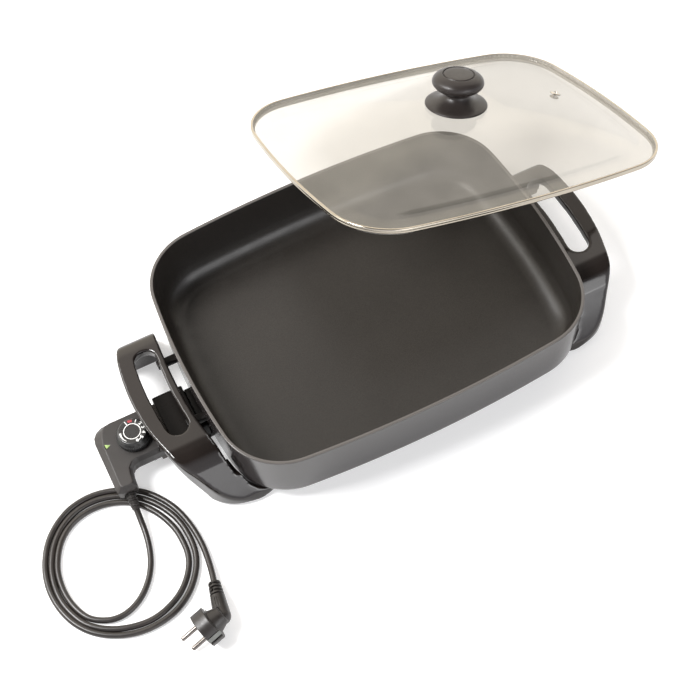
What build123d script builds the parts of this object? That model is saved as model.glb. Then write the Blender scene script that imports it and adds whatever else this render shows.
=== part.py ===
from build123d import *
import os
from math import sqrt, sin, cos, tan, atan2, radians, degrees, pi, hypot

# Rectangular electric skillet with a loose glass lid and a plug-in heat control.
# Millimetres. +Z up, the long side of the pan runs along X, the control plugs in at -X,
# and the origin is the middle of the pan on the table top.

# ---------------------------------------------------------------- driving sizes
RIM_Z = 90.0            # top of the pan rim above the table
HALF_L = 210.0          # half length of the rim, at the middle of the short sides
HALF_W = 158.9          # half width of the rim, at the middle of the long sides
SAG_LONG = 14.4         # bow of the long sides
SAG_SHORT = 15.8        # bow of the short sides
CORNER_R = 69.6         # corner radius of the rim
WALL = 3.6              # cast wall
BASE_Z = 12.0           # underside of the base
FLOOR_Z = 18.5          # cooking surface
DRAFT = 3.0             # how much the wall leans in from rim to base
R_OUT, R_IN = 14.0, 24.0  # base fillets, outside and inside

HANDLE_TOP = 62.0
HANDLE_T = 12.0
SLOT_IN, SLOT_OUT, SLOT_HALF = 228.0, 252.0, 54.0
PAD_T = 3.0             # rubber foot pads

LEVEL = 12.5            # height of the terminal pins and of the probe
CY = -19.0              # middle of the inlet along Y
PIN_HALF = 12.0         # terminal pins each side of the probe
PIN_R = 2.75
PROBE_R = 3.0

LID_OUT = 0.0           # the lid edge stands this far inside the rim edge
BAND_H = 5.8
GLASS_T = 4.0
LID_POS = (180.741, 135.222, 87.371)                      # middle of the lid, set down against the pan
LID_X = (0.97134587, -0.00566921, -0.23760275)      # its long axis
LID_N = (0.22780262, 0.30728193, 0.92395011)        # its upright axis
KNOB_H = 35.6           # seat of the knob above the middle of the band

TOP_Z, PART_Z, BOT_Z = 35.0, 18.0, 8.5              # control housing: top face, parting line, underside
DIAL_C = (-281.0, -20.5)
DIAL_R, DIAL_TOP = 18.2, 47.5

CORD_D = 6.4
CORD_Z = 3.3

os.makedirs("parts", exist_ok=True)


# ---------------------------------------------------------------- helpers
def radii(a, b, sx, sy):
    return (a * a + sx * sx) / (2 * sx), (b * b + sy * sy) / (2 * sy)


R_LONG, R_SHORT = radii(HALF_L, HALF_W, SAG_LONG, SAG_SHORT)


def plan(d=0.0, z=0.0, k=1.0, half=(HALF_L, HALF_W)):
    """The bowed, round-cornered rectangle of the rim, moved in by d, scaled by k, at height z."""
    a, b, rl, rs, rc = half[0] - d, half[1] - d, R_LONG - d, R_SHORT - d, CORNER_R - d
    x, y = a - 20.0, b - 20.0
    for _ in range(60):  # where the two side arcs cross
        f1 = x * x + (y - b + rl) ** 2 - rl * rl
        f2 = (x - a + rs) ** 2 + y * y - rs * rs
        j11, j12, j21, j22 = 2 * x, 2 * (y - b + rl), 2 * (x - a + rs), 2 * y
        det = j11 * j22 - j12 * j21
        x -= (f1 * j22 - f2 * j12) / det
        y -= (f2 * j11 - f1 * j21) / det
    a, b, x, y, rc = a * k, b * k, x * k, y * k, rc * k
    arcs = [
        ThreePointArc((-x, y), (0, b), (x, y)),
        ThreePointArc((x, y), (a, 0), (x, -y)),
        ThreePointArc((x, -y), (0, -b), (-x, -y)),
        ThreePointArc((-x, -y), (-a, 0), (-x, y)),
    ]
    f = make_face(arcs)
    f = fillet(f.vertices(), rc)
    return Pos(0, 0, z) * f


def between(*sections):
    """A solid lofted straight between sections."""
    return loft([s.faces()[0] if hasattr(s, "faces") else s for s in sections], ruled=True)


def box(x0, x1, y0, y1, z0, z1):
    return Pos((x0 + x1) / 2, (y0 + y1) / 2, (z0 + z1) / 2) * Box(abs(x1 - x0), abs(y1 - y0), abs(z1 - z0))


def rod(p, q, r):
    """A cylinder from point p to point q."""
    v = Vector(*q) - Vector(*p)
    return Plane(origin=p, z_dir=v).location * Cylinder(r, v.length, align=(Align.CENTER, Align.CENTER, Align.MIN))


def cone(p, q, r0, r1):
    v = Vector(*q) - Vector(*p)
    return Plane(origin=p, z_dir=v).location * Cone(r0, r1, v.length, align=(Align.CENTER, Align.CENTER, Align.MIN))


def poly(points, z):
    return Pos(0, 0, z) * make_face(Polyline(*points, close=True))


def soften(shape, edges, *sizes):
    """Rounds the edges with the largest of the sizes that works."""
    for s in sizes:
        try:
            out = fillet(edges, s)
            if out.is_valid and out.volume > 0:
                return out
        except Exception:
            pass
    return shape


def save(shape, name):
    shape.label = name
    export_step(shape, f"parts/{name}.step")
    print(name, round(shape.volume / 1000, 2), "cm3")


def several(*solids):
    return Compound(children=[s for x in solids for s in x.solids()])


# ---------------------------------------------------------------- heating element
EL_R = 3.6
EL_Z = 10.0
el_pts = [
    (-206, CY - PIN_HALF, LEVEL), (-176, CY - PIN_HALF, LEVEL), (-160, CY - PIN_HALF, EL_Z), (-140, -42, EL_Z), (-140, -96, EL_Z),
    (140, -96, EL_Z), (140, 96, EL_Z), (-140, 96, EL_Z), (-140, 4, EL_Z), (-160, CY + PIN_HALF, EL_Z),
    (-176, CY + PIN_HALF, LEVEL), (-206, CY + PIN_HALF, LEVEL),
]
el_path = FilletPolyline(*el_pts, radius=[12, 12, 12, 40, 40, 40, 40, 12, 12, 12])
el_rod = sweep(Plane(origin=el_path @ 0, z_dir=el_path % 0) * Circle(EL_R), path=el_path)
element = el_rod

# ---------------------------------------------------------------- pan
outer = between(plan(DRAFT, BASE_Z), plan(0, RIM_Z))
low = [e for e in outer.edges() if e.center().Z < BASE_Z + 0.5]
outer = soften(outer, low, R_OUT, 10, 6)
inner = between(plan(DRAFT + WALL, FLOOR_Z), plan(WALL, RIM_Z + 1))
low = [e for e in inner.edges() if e.center().Z < FLOOR_Z + 0.5]
inner = soften(inner, low, R_IN, 20, 16)

LUG_X, LUG_Y = 223.6, 39.0
lugs = []
for sx in (-1, 1):
    for sy in (-1, 1):
        lugs.append(box(sx * 205.6, sx * 228, sy * (LUG_Y - 4.5), sy * (LUG_Y + 4.5), 43, HANDLE_TOP - HANDLE_T))
boss = box(-214, -186, CY - 25, CY + 25, 6, 36)
well_rib = box(-190, -140, CY - 6.5, CY + 6.5, 7, 13)
rib = extrude(plan(50, 8.2), amount=5) - extrude(plan(66, 8.0), amount=6)
body = outer + boss + well_rib + rib
for g in lugs:
    body += g
body -= inner
body -= element
body -= rod((-215, CY, LEVEL), (-146, CY, LEVEL), PROBE_R + 0.3)
for s in (-1, 1):  # clearance for the terminal pins in the boss
    body -= rod((-215, CY + s * PIN_HALF, LEVEL), (-206, CY + s * PIN_HALF, LEVEL), 5.2)
for sx in (-1, 1):
    for sy in (-1, 1):
        body -= Pos(sx * LUG_X, sy * LUG_Y, 41) * Cylinder(2.2, 12, align=(Align.CENTER, Align.CENTER, Align.MIN))
for sy in (-1, 1):  # holes for the inlet screws
    body -= rod((-215, CY + sy * 20.5, 29), (-202, CY + sy * 20.5, 29), 1.6)
top = [e for e in body.edges() if abs(e.center().Z - RIM_Z) < 0.05]
pan = soften(body, top, 0.9, 0.5)
save(pan, "pan_body")
save(element, "heating_element")

# terminal pins: plain steel pins in ceramic beads, where the element ends
pins, beads = [], []
for s in (-1, 1):
    y = CY + s * PIN_HALF
    p = rod((-206, y, LEVEL), (-241, y, LEVEL), PIN_R)
    p = soften(p, [e for e in p.edges() if e.center().X < -240.9], 1.2, 0.6)
    pins.append(p)
    beads.append(rod((-206, y, LEVEL), (-213.6, y, LEVEL), 5.0) - rod((-205, y, LEVEL), (-215, y, LEVEL), PIN_R))
save(several(*pins), "terminal_pins")
save(several(*beads), "ceramic_beads")

# ---------------------------------------------------------------- control inlet (shroud round the pins)
inlet = box(-214, -248, CY - 31, CY + 32, 5, 37)
inlet = soften(inlet, [e for e in inlet.edges().filter_by(Axis.X)], 4, 2)
recess = box(-222, -249, CY - 27.5, CY + 27.5, 7.4, 33.6)
recess = soften(recess, [e for e in recess.edges().filter_by(Axis.X)], 2.5, 1)
inlet -= recess
inlet -= rod((-213, CY, LEVEL), (-223, CY, LEVEL), 4.0)
for s in (-1, 1):
    inlet -= rod((-213, CY + s * PIN_HALF, LEVEL), (-223, CY + s * PIN_HALF, LEVEL), PIN_R)
    inlet -= rod((-213, CY + s * 20.5, 29), (-223, CY + s * 20.5, 29), 1.7)
    inlet -= rod((-219.8, CY + s * 20.5, 29), (-223, CY + s * 20.5, 29), 3.1)
save(inlet, "inlet_housing")
scr = []
for s in (-1, 1):
    y = CY + s * 20.5
    scr.append(rod((-203, y, 29), (-219.8, y, 29), 1.5) + rod((-219.8, y, 29), (-221.8, y, 29), 3.0))
save(several(*scr), "inlet_screws")

# ---------------------------------------------------------------- handles: one moulding each, with its two legs
# outer edge of the left moulding seen from above, from the back foot to the front foot
edge = [
    (-196, 104), (-214, 101), (-232, 96), (-246, 88), (-256, 78), (-262, 66), (-266, 50), (-269, 27), (-270, 4),
    (-268.5, -22), (-265, -45), (-260, -65), (-255.5, -80), (-248, -92.5), (-240.5, -102), (-233, -112), (-225.5, -119.5),
    (-216, -125.2), (-202, -129.4), (-189, -131.2), (-176, -128.9), (-166, -124.6),
]
back = Line((-196, 104), (-150, 104))
side = Spline(*edge)
close_1 = Polyline((-166, -124.6), (-150, -116), (-150, 104))
foot_plan = make_face(Curve() + [side, close_1, Line((-150, 104), (-196, 104))])
tower = extrude(foot_plan, amount=80, dir=(0, 0, 1))

# the same moulding seen from the side: a flat grip, a raked front leg and a steep back leg
t = HANDLE_T
side_pts = [
    (-131.5, PAD_T), (-128, 12), (-97, 49), (-84, 59.5), (-66, HANDLE_TOP), (57, HANDLE_TOP), (72, 58.0), (80, 46), (99, PAD_T),
    (70, PAD_T), (67.5, 34), (63.5, 46), (54, HANDLE_TOP - t), (-58, HANDLE_TOP - t), (-74, 46), (-86, 34), (-108, PAD_T),
]
side_face = make_face(Plane.YZ * Polyline(*side_pts, close=True))
band = extrude(side_face, amount=300, dir=(-1, 0, 0))
rounds = [e for e in band.edges().filter_by(Axis.X)]


def near(e, y, z):
    c = e.center()
    return abs(c.Y - y) < 0.5 and abs(c.Z - z) < 0.5


for (y, z), r in {(-84, 59.5): 26, (-97, 49): 26, (-66, HANDLE_TOP): 26, (57, HANDLE_TOP): 30, (72, 58.0): 14, (80, 46): 20, (67.5, 34): 10,
                  (63.5, 46): 6, (54, 50.0): 8, (-58, 50.0): 16, (-74, 46): 16, (-86, 34): 14}.items():
    es = [e for e in band.edges() if near(e, y, z)]
    if es:
        band = soften(band, es, r, r / 2, 3)
arch = tower & band
# clear of the pan: a gap beside the wall that narrows towards the front foot, and a close fit round the lower corner
def corner_centre():
    x, y = HALF_L - CORNER_R - 10, HALF_W - CORNER_R - 10
    for _ in range(60):
        f1 = x * x + (y - HALF_W + R_LONG) ** 2 - (R_LONG - CORNER_R) ** 2
        f2 = (x - HALF_L + R_SHORT) ** 2 + y * y - (R_SHORT - CORNER_R) ** 2
        j11, j12, j21, j22 = 2 * x, 2 * (y - HALF_W + R_LONG), 2 * (x - HALF_L + R_SHORT), 2 * y
        det = j11 * j22 - j12 * j21
        x -= (f1 * j22 - f2 * j12) / det
        y -= (f2 * j11 - f1 * j21) / det
    return x, y


CX, CYC = corner_centre()
Y_MEET = CYC * R_SHORT / (R_SHORT - CORNER_R)


def beside(y, gap):
    """The point that stands off the rim's end by the gap, near this y."""
    if abs(y) < Y_MEET:
        nx, ny = sqrt(1 - (y / R_SHORT) ** 2), y / R_SHORT
        px = HALF_L - R_SHORT + R_SHORT * nx
    else:
        ny = (abs(y) - CYC) / CORNER_R * (1 if y > 0 else -1)
        nx = sqrt(1 - ny * ny)
        px = CX + CORNER_R * nx
    return (-(px + gap * nx), y + gap * ny)


gaps = [(132, 7.0), (110, 8.0), (88, 9.0), (60, 9.4), (30, 9.5), (0, 9.5), (-25, 9.3), (-45, 8.4), (-62, 6.6), (-78, 4.8), (-94, 3.8), (-112, 3.4), (-132, 3.2)]
line = Spline(*[beside(y, g) for y, g in gaps])
cut_face = make_face(Curve() + [line, Polyline(beside(*gaps[-1]), (-100, -135), (-100, 135), beside(*gaps[0]))])
arch -= extrude(Pos(0, 0, 33) * cut_face, amount=70)
arch -= extrude(Pos(0, 0, -1) * cut_face, amount=100) & box(-300, -90, 20, 140, -2, 100)
near_wall = extrude(plan(0.9, 10.2), amount=90)
near_wall = soften(near_wall, [e for e in near_wall.edges() if e.center().Z < 10.5], 13, 8)
arch -= near_wall
arch -= box(-168, -140, -140, 140, -1, 80) + box(-190, -140, -60, 140, -1, 80)
# finger slot, bowed like the end of the pan
def slot_face():
    i, o, h = SLOT_IN, SLOT_OUT, SLOT_HALF
    w = (o - i) / 2
    cut = h - w
    sag = cut * cut / (2 * R_SHORT) + 1.2
    pts_o = ThreePointArc((-o + sag, cut), (-o, 0), (-o + sag, -cut))
    end_a = ThreePointArc((-o + sag, -cut), (-(i + o) / 2 + sag, -h), (-i + sag, -cut))
    pts_i = ThreePointArc((-i + sag, -cut), (-i, 0), (-i + sag, cut))
    end_b = ThreePointArc((-i + sag, cut), (-(i + o) / 2 + sag, h), (-o + sag, cut))
    return make_face(Curve() + [pts_o, end_a, pts_i, end_b])


arch -= extrude(Pos(0, 0, 30) * slot_face(), amount=50)
for sy in (-1, 1):
    arch -= Pos(-LUG_X, sy * LUG_Y, 49) * Cylinder(1.8, 9, align=(Align.CENTER, Align.CENTER, Align.MIN))
arch = max(arch.solids(), key=lambda s: s.volume)
outer_top = [e for e in arch.edges() if e.center().Z > 20 and e.center().X < -235 and e.length > 12 and e.center().Z < HANDLE_TOP + 0.1]
handle_l = arch
for r in (4.2, 3.6, 3.0, 2.0, 1.2):
    try:
        es = [e for e in arch.edges() if abs(e.center().Z - HANDLE_TOP) < 0.05]
        h = fillet(es, r)
        if h.is_valid:
            handle_l = h
            break
    except Exception:
        pass
handle_r = mirror(handle_l, about=Plane.YZ)
save(handle_l, "handle_left")
save(handle_r, "handle_right")

hs = []
for sx in (-1, 1):
    for sy in (-1, 1):
        c = Pos(sx * LUG_X, sy * LUG_Y, 0)
        hs.append(c * (Pos(0, 0, 40) * Cylinder(3.8, 3, align=(Align.CENTER, Align.CENTER, Align.MIN))
                       + Pos(0, 0, 43) * Cylinder(1.7, 13.5, align=(Align.CENTER, Align.CENTER, Align.MIN))))
save(several(*hs), "handle_screws")

# rubber pads under the four legs
pads = []
for sx in (-1, 1):
    for cx, cy, r in ((205, -116.5, 8.0), (229, 86, 9.5)):
        pads.append(Pos(sx * cx, cy, 0) * Cylinder(r, PAD_T, align=(Align.CENTER, Align.CENTER, Align.MIN)))
save(several(*pads), "foot_pads")

# ---------------------------------------------------------------- lid, modelled flat and then set down against the pan
LID = Plane(origin=LID_POS, x_dir=LID_X, z_dir=LID_N).location
HB = BAND_H / 2


def ring(d0, d1, z0, z1):
    return extrude(plan(LID_OUT + d0, z0), amount=z1 - z0) - extrude(plan(LID_OUT + d1, z0 - 1), amount=z1 - z0 + 2)


lid_band = ring(0, 0.6, -HB, HB) + ring(0, 2.9, HB - 0.5, HB) + ring(0, 3.7, -HB, -HB + 0.5)
save(LID * lid_band, "lid_band")
gasket = ring(0.6, 2.9, -HB + 0.5, HB - 0.5) + ring(0.6, 5.1, -HB + 0.5, -GLASS_T / 2) + ring(3.9, 5.1, -HB - 2.4, -HB + 0.5) - ring(1.6, 7.0, -GLASS_T / 2, GLASS_T / 2)
save(LID * gasket, "lid_gasket")


FOOT = 17.5             # the pane is flat this far in, then it rises
FLAT_K = 0.2            # and is flat again under the knob
RISE = KNOB_H - GLASS_T / 2


def dome(k):
    """Height of the pane's upper side where the foot's outline is scaled by k."""
    if k > 0.93:  # it leaves the flat edge gently
        return GLASS_T / 2 + {1.0: 0.0, 0.985: 0.45, 0.965: 1.6}[k] * RISE / 34.3
    return GLASS_T / 2 + RISE * (1 - k * k) / (1 - FLAT_K ** 2)


LEVELS = (1.0, 0.985, 0.965, 0.93, 0.88, 0.82, 0.75, 0.67, 0.58, 0.48, 0.36, FLAT_K)
edge_ring = ring(1.6, FOOT + 1.0, -GLASS_T / 2, GLASS_T / 2)
g_out = between(plan(LID_OUT + FOOT, -GLASS_T / 2), *[plan(LID_OUT + FOOT, dome(k), k) for k in LEVELS])
g_in = between(plan(LID_OUT + FOOT, -GLASS_T / 2 - 1.0), *[plan(LID_OUT + FOOT, dome(k) - GLASS_T, k) for k in LEVELS[2:]])
glass = edge_ring + g_out - g_in
VENT = (139.9, 3.4)
VENT_K = VENT[0] / (HALF_L - LID_OUT - FOOT)
glass -= Pos(0, 0, 30) * Cylinder(4.3, 30)
glass -= Pos(VENT[0], VENT[1], 20) * Cylinder(4.3, 40)
save(LID * glass, "lid_glass")

# the vent eyelet sits square to the glass
VENT_Z = dome(VENT_K)
VN = (2 * RISE * VENT_K / (1 - FLAT_K ** 2) / (HALF_L - LID_OUT - FOOT), 0, 1.0)
c_ = (Align.CENTER, Align.CENTER, Align.MIN)
eyelet = Plane(origin=(VENT[0], VENT[1], VENT_Z), z_dir=VN).location * (
    Pos(0, 0, 0.15) * Cylinder(6.6, 1.3, align=c_) + Pos(0, 0, -GLASS_T - 2.2) * Cylinder(3.3, GLASS_T + 3.0, align=c_)
    + Pos(0, 0, -GLASS_T - 1.5) * Cylinder(5.6, 1.1, align=c_) - Cylinder(2.2, 20)
)
save(LID * eyelet, "vent_eyelet")

# knob: saucer flange, waist and rounded grip, turned about the upright axis
K0 = KNOB_H
prof = [
    (0, K0), (28.8, K0), (32.4, K0 + 0.6), (34.9, K0 + 2.0), (34.2, K0 + 3.4), (27.8, K0 + 5.6), (20.1, K0 + 8.3), (15.0, K0 + 12.1),
    (14.0, K0 + 15.2), (15.7, K0 + 18.1), (21.6, K0 + 20.6), (26.8, K0 + 23.5), (28.8, K0 + 27.5), (27.7, K0 + 32.2), (24.2, K0 + 36.2),
    (18.8, K0 + 38.1), (17.4, K0 + 38.3), (0, K0 + 38.3),
]
flat = Polyline((0, K0), (28.8, K0))
curve = Spline(*[(x, z) for x, z in prof[1:-1]])
kf = make_face(Plane.XZ * (Curve() + [flat, curve, Polyline((17.4, K0 + 38.3), (0, K0 + 38.3), (0, K0))]))
knob = revolve(kf, Axis.Z)
knob -= Pos(0, 0, K0 + 37.1) * Cylinder(16.6, 3, align=(Align.CENTER, Align.CENTER, Align.MIN))
knob -= Pos(0, 0, K0 - 1) * Cylinder(4.0, 17, align=(Align.CENTER, Align.CENTER, Align.MIN))
save(LID * knob, "knob_body")
cap = Pos(0, 0, K0 + 37.1) * (Cylinder(16.3, 1.4, align=(Align.CENTER, Align.CENTER, Align.MIN)))
save(LID * cap, "knob_cap")
insert = Pos(0, 0, K0 + 1) * (Cylinder(4.0, 14, align=(Align.CENTER, Align.CENTER, Align.MIN)) - Pos(0, 0, -1) * Cylinder(2.4, 13, align=(Align.CENTER, Align.CENTER, Align.MIN)))
save(LID * insert, "knob_insert")
seal = Pos(0, 0, K0 - 4.55) * (Cylinder(4.2, 4.5, align=(Align.CENTER, Align.CENTER, Align.MIN)) - Cylinder(2.6, 9))
save(LID * seal, "knob_seal")
washer = Pos(0, 0, K0 - 6.6) * (Cylinder(11.0, 1.6, align=(Align.CENTER, Align.CENTER, Align.MIN)) - Cylinder(2.6, 6))
save(LID * washer, "knob_washer")
kscrew = Pos(0, 0, K0 - 9.2) * (Cylinder(5.0, 2.6, align=(Align.CENTER, Align.CENTER, Align.MIN)) + Cylinder(2.35, 20.5, align=(Align.CENTER, Align.CENTER, Align.MIN)))
save(LID * kscrew, "knob_screw")

# ---------------------------------------------------------------- plug-in heat control
mid = [
    (-249.5, 8.5), (-262, 8.5), (-300, 9.5), (-309, 8.8), (-315, 5.5), (-319, 0.5), (-320.5, -6), (-320.5, -66), (-319.5, -70), (-316, -71.5),
    (-303, -72), (-299.5, -71), (-298.2, -68), (-297.5, -57), (-296, -51), (-292.5, -47.4), (-287, -46), (-262, -46.5), (-249.5, -46.5),
]
topo = [
    (-251.5, 6.0), (-262, 6.0), (-298, 6.2), (-304, 5.0), (-308, 1.5), (-311, -5), (-313.4, -14), (-314.8, -64), (-314.4, -66.6), (-312.4, -68),
    (-304.6, -68.6), (-302.4, -68), (-301, -66), (-300.4, -58), (-298.6, -51.0), (-294.0, -45.8), (-288, -44), (-262, -44), (-251.5, -44),
]
boto = [
    (-251.5, 5.5), (-262, 5.5), (-298, 6.0), (-306, 5.4), (-311.4, 2.6), (-314.6, -1.6), (-316, -8), (-316, -64), (-315.2, -66.8), (-313, -68),
    (-305.4, -68.4), (-303.0, -67.6), (-302, -65.6), (-301.4, -55), (-299.2, -48.0), (-294.6, -43.6), (-288, -42), (-262, -42), (-251.5, -42),
]


def inset(pts, d):
    """The polygon moved in by d."""
    n, out = len(pts), []
    for i in range(n):
        (x0, y0), (x1, y1), (x2, y2) = pts[i - 1], pts[i], pts[(i + 1) % n]
        a = (x1 - x0, y1 - y0)
        b = (x2 - x1, y2 - y1)
        la, lb = hypot(*a), hypot(*b)
        na, nb = (-a[1] / la, a[0] / la), (-b[1] / lb, b[0] / lb)
        m = (na[0] + nb[0], na[1] + nb[1])
        k = 2 * d / (m[0] ** 2 + m[1] ** 2)
        out.append((x1 + m[0] * k, y1 + m[1] * k))
    return out


SH = 2.2
MZ = 28.0
shell_t = between(poly(mid, PART_Z), poly(mid, MZ)) + between(poly(mid, MZ), poly(topo, TOP_Z))
void_t = between(poly(inset(mid, SH), PART_Z - 1), poly(inset(mid, SH), MZ)) + between(poly(inset(mid, SH), MZ), poly(inset(topo, SH), TOP_Z - SH))
shell_b = between(poly(boto, BOT_Z), poly(mid, PART_Z))
void_b = between(poly(inset(boto, SH), BOT_Z + SH), poly(inset(mid, SH), PART_Z)) + between(poly(inset(mid, SH), PART_Z), poly(inset(mid, SH), PART_Z + 1))
mouth = box(-253, -248, CY - 26.9, CY + 26.9, 6.9, 33.1)
mouth_in = box(-264, -248, CY - 26.6, CY + 26.6, 6.0, 33.1)
E0 = (-308.0, -66.0, 20.0)                    # where the cord leaves the housing
EXIT_DIR = Vector(-0.06, -0.93, -0.36).normalized()
relief_len = 27.0


def along(p, v, d):
    return (p[0] + v.X * d, p[1] + v.Y * d, p[2] + v.Z * d)


relief_seat = rod(along(E0, EXIT_DIR, -6), along(E0, EXIT_DIR, 20), 6.4)
lens_pts = [(-312.1, -15.0), (-306.6, -18.2), (-311.8, -20.6)]
lens_hole = extrude(poly(lens_pts, TOP_Z - 4), amount=6)
posts, post_holes, screws = [], [], []
for x, y in ((-312, -2.5), (-270, 1.8), (-270, -40), (-314.3, -49)):
    posts.append(Pos(x, y, 0) * (Pos(0, 0, BOT_Z + 0.5) * Cylinder(3.0, PART_Z - BOT_Z - 0.5, align=(Align.CENTER, Align.CENTER, Align.MIN))))
    posts.append(Pos(x, y, PART_Z) * Cylinder(3.0, TOP_Z - SH - PART_Z + (0.0), align=(Align.CENTER, Align.CENTER, Align.MIN)))
    screws.append(Pos(x, y, 0) * (Pos(0, 0, BOT_Z - 0.4) * Cylinder(2.4, 2.0, align=(Align.CENTER, Align.CENTER, Align.MIN)) + Pos(0, 0, BOT_Z + 1.6) * Cylinder(1.25, 15, align=(Align.CENTER, Align.CENTER, Align.MIN))))
top_shell = (shell_t - void_t)
bot_shell = (shell_b - void_b)
for i, p in enumerate(posts):
    if i % 2 == 0:
        bot_shell += p & shell_b
    else:
        top_shell += p & shell_t
for s in screws:
    top_shell -= s
    bot_shell -= s
top_shell = top_shell - mouth - mouth_in - relief_seat - lens_hole - Pos(DIAL_C[0], DIAL_C[1], TOP_Z - 3) * Cylinder(3.6, 8)
bot_shell = bot_shell - mouth - mouth_in - relief_seat
save(max(top_shell.solids(), key=lambda s: s.volume), "control_housing_top")
save(max(bot_shell.solids(), key=lambda s: s.volume), "control_housing_bottom")
save(several(*screws), "housing_screws")

lens = extrude(poly(inset([lens_pts[0], lens_pts[2], lens_pts[1]], 0.12), TOP_Z - 3.2), amount=3.7)
save(lens, "indicator_lens")
save(rod((-310.4, -12, 28.5), (-310.4, -24, 28.5), 2.0), "neon_lamp")

# heat-resistant block that carries the contact sockets and the probe
block = box(-263, -223.6, CY - 26.5, CY + 26.5, 7.9, 33.0)
block = soften(block, [e for e in block.edges().filter_by(Axis.X)], 2.4, 1)
for s in (-1, 1):
    block -= rod((-222, CY + s * PIN_HALF, LEVEL), (-264, CY + s * PIN_HALF, LEVEL), 4.1)
block -= rod((-222, CY, LEVEL), (-264, CY, LEVEL), PROBE_R)
save(block, "connector_block")
socks = []
for s in (-1, 1):
    y = CY + s * PIN_HALF
    socks.append(rod((-224.2, y, LEVEL), (-262.5, y, LEVEL), 4.1) - rod((-223, y, LEVEL), (-254, y, LEVEL), PIN_R + 0.3))
save(several(*socks), "contact_sockets")
probe = rod((-263, CY, LEVEL), (-152, CY, LEVEL), PROBE_R)
probe = soften(probe, [e for e in probe.edges() if e.center().X > -152.1], 2.6, 1.5)
save(probe, "probe_rod")
stat = box(-296, -266.5, CY - 17, CY + 14, 16.2, 27.5)
stat = soften(stat, [e for e in stat.edges().filter_by(Axis.Z)], 2, 1)
save(stat, "thermostat_switch")
wires = several(
    *[sweep(Plane(origin=w @ 0, z_dir=w % 0) * Circle(1.1), path=w) for w in (
        FilletPolyline((-306.0, -45.0, 21), (-303.5, -38, 17.0), (-299.5, -30, 14.0), (-292, -33.0, 13.6), (-276, -31.4, 12.8), (-263.6, CY - PIN_HALF, LEVEL), radius=[5, 5, 5, 5]),
        FilletPolyline((-309.6, -45.0, 21), (-308.5, -30, 18.0), (-304.0, -10, 14.0), (-292, -4.0, 13.2), (-276, -6.5, 12.8), (-263.6, CY + PIN_HALF, LEVEL), radius=[5, 5, 5, 5]),
    )]
)
save(wires, "internal_wires")

# dial and its shaft
d0 = TOP_Z + 0.6
dial = Pos(DIAL_C[0], DIAL_C[1], 0) * (
    Pos(0, 0, d0) * Cylinder(DIAL_R, 5.4, align=(Align.CENTER, Align.CENTER, Align.MIN))
    + Pos(0, 0, d0 + 5.4) * Cone(DIAL_R, 14.6, DIAL_TOP - d0 - 5.4, align=(Align.CENTER, Align.CENTER, Align.MIN))
)
dial = soften(dial, [e for e in dial.edges() if e.center().Z > DIAL_TOP - 0.1], 1.4, 0.8)
for i in range(30):
    an = 2 * pi * i / 30
    dial -= Pos(DIAL_C[0] + (DIAL_R + 0.5) * cos(an), DIAL_C[1] + (DIAL_R + 0.5) * sin(an), d0 - 1) * Cylinder(1.2, 7.4, align=(Align.CENTER, Align.CENTER, Align.MIN))
dial -= Pos(DIAL_C[0], DIAL_C[1], d0 - 1) * Cylinder(3.0, 9.0, align=(Align.CENTER, Align.CENTER, Align.MIN))
save(dial, "temperature_dial")
shaft = Pos(DIAL_C[0], DIAL_C[1], 27.8) * Cylinder(3.0, d0 + 8.0 - 27.8, align=(Align.CENTER, Align.CENTER, Align.MIN))
save(shaft, "dial_shaft")

# ---------------------------------------------------------------- supply cord
EXIT = along(E0, EXIT_DIR, relief_len - 5.0)
relief = cone(along(E0, EXIT_DIR, -5.5), EXIT, 6.2, 4.3)
save(relief, "strain_relief")
inner_end = rod(along(E0, EXIT_DIR, -5.5), along(E0, EXIT_DIR, -16.0), CORD_D / 2)
save(inner_end, "cord_inner_end")
ic = along(E0, EXIT_DIR, -11.0)
clamp = box(ic[0] - 6.0, ic[0] + 4.5, ic[1] - 3, ic[1] + 3, ic[2] + 3.25, ic[2] + 6.2)
save(clamp - inner_end, "cord_clamp")

LEAD = [
    EXIT, along(EXIT, EXIT_DIR, 11.0), (-310.9, -113.0, 4.6), (-314.2, -131.0, CORD_Z), (-320.0, -147.0, CORD_Z), (-329.2, -161.5, CORD_Z),
    (-341.8, -173.4, CORD_Z), (-356.6, -180.6, CORD_Z), (-371.6, -181.8, CORD_Z), (-384.6, -177.0, CORD_Z),
]
TAIL = [
    (-281.0, -84.0, CORD_Z), (-273.4, -98.6, CORD_Z), (-267.4, -116.0, CORD_Z), (-264.8, -135.0, CORD_Z), (-264.4, -154.0, CORD_Z),
    (-266.2, -171.0, 4.6), (-268.6, -186.1, 7.26), (-270.6, -194.0, 8.2),
]


def tube(points, name, r=CORD_D / 2):
    """Straight runs joined by tangent arcs, each as large as its two runs allow."""
    v = [Vector(*p) for p in points]
    rads = []
    for i in range(1, len(v) - 1):
        a, b = v[i] - v[i - 1], v[i + 1] - v[i]
        turn = radians(a.get_angle(b))
        rads.append(0.45 * min(a.length, b.length) / tan(turn / 2))
    path = FilletPolyline(*points, radius=rads)
    s = sweep(Plane(origin=path @ 0, z_dir=path % 0) * Circle(r), path=path)
    print(name, "radii", [round(r) for r in rads], "length", round(path.length, 1), "volume ratio", round(s.volume / (path.length * pi * r ** 2), 4))
    return s


save(tube(LEAD, "lead"), "supply_cord_lead")
save(tube(TAIL, "tail"), "supply_cord_tail")

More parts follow.
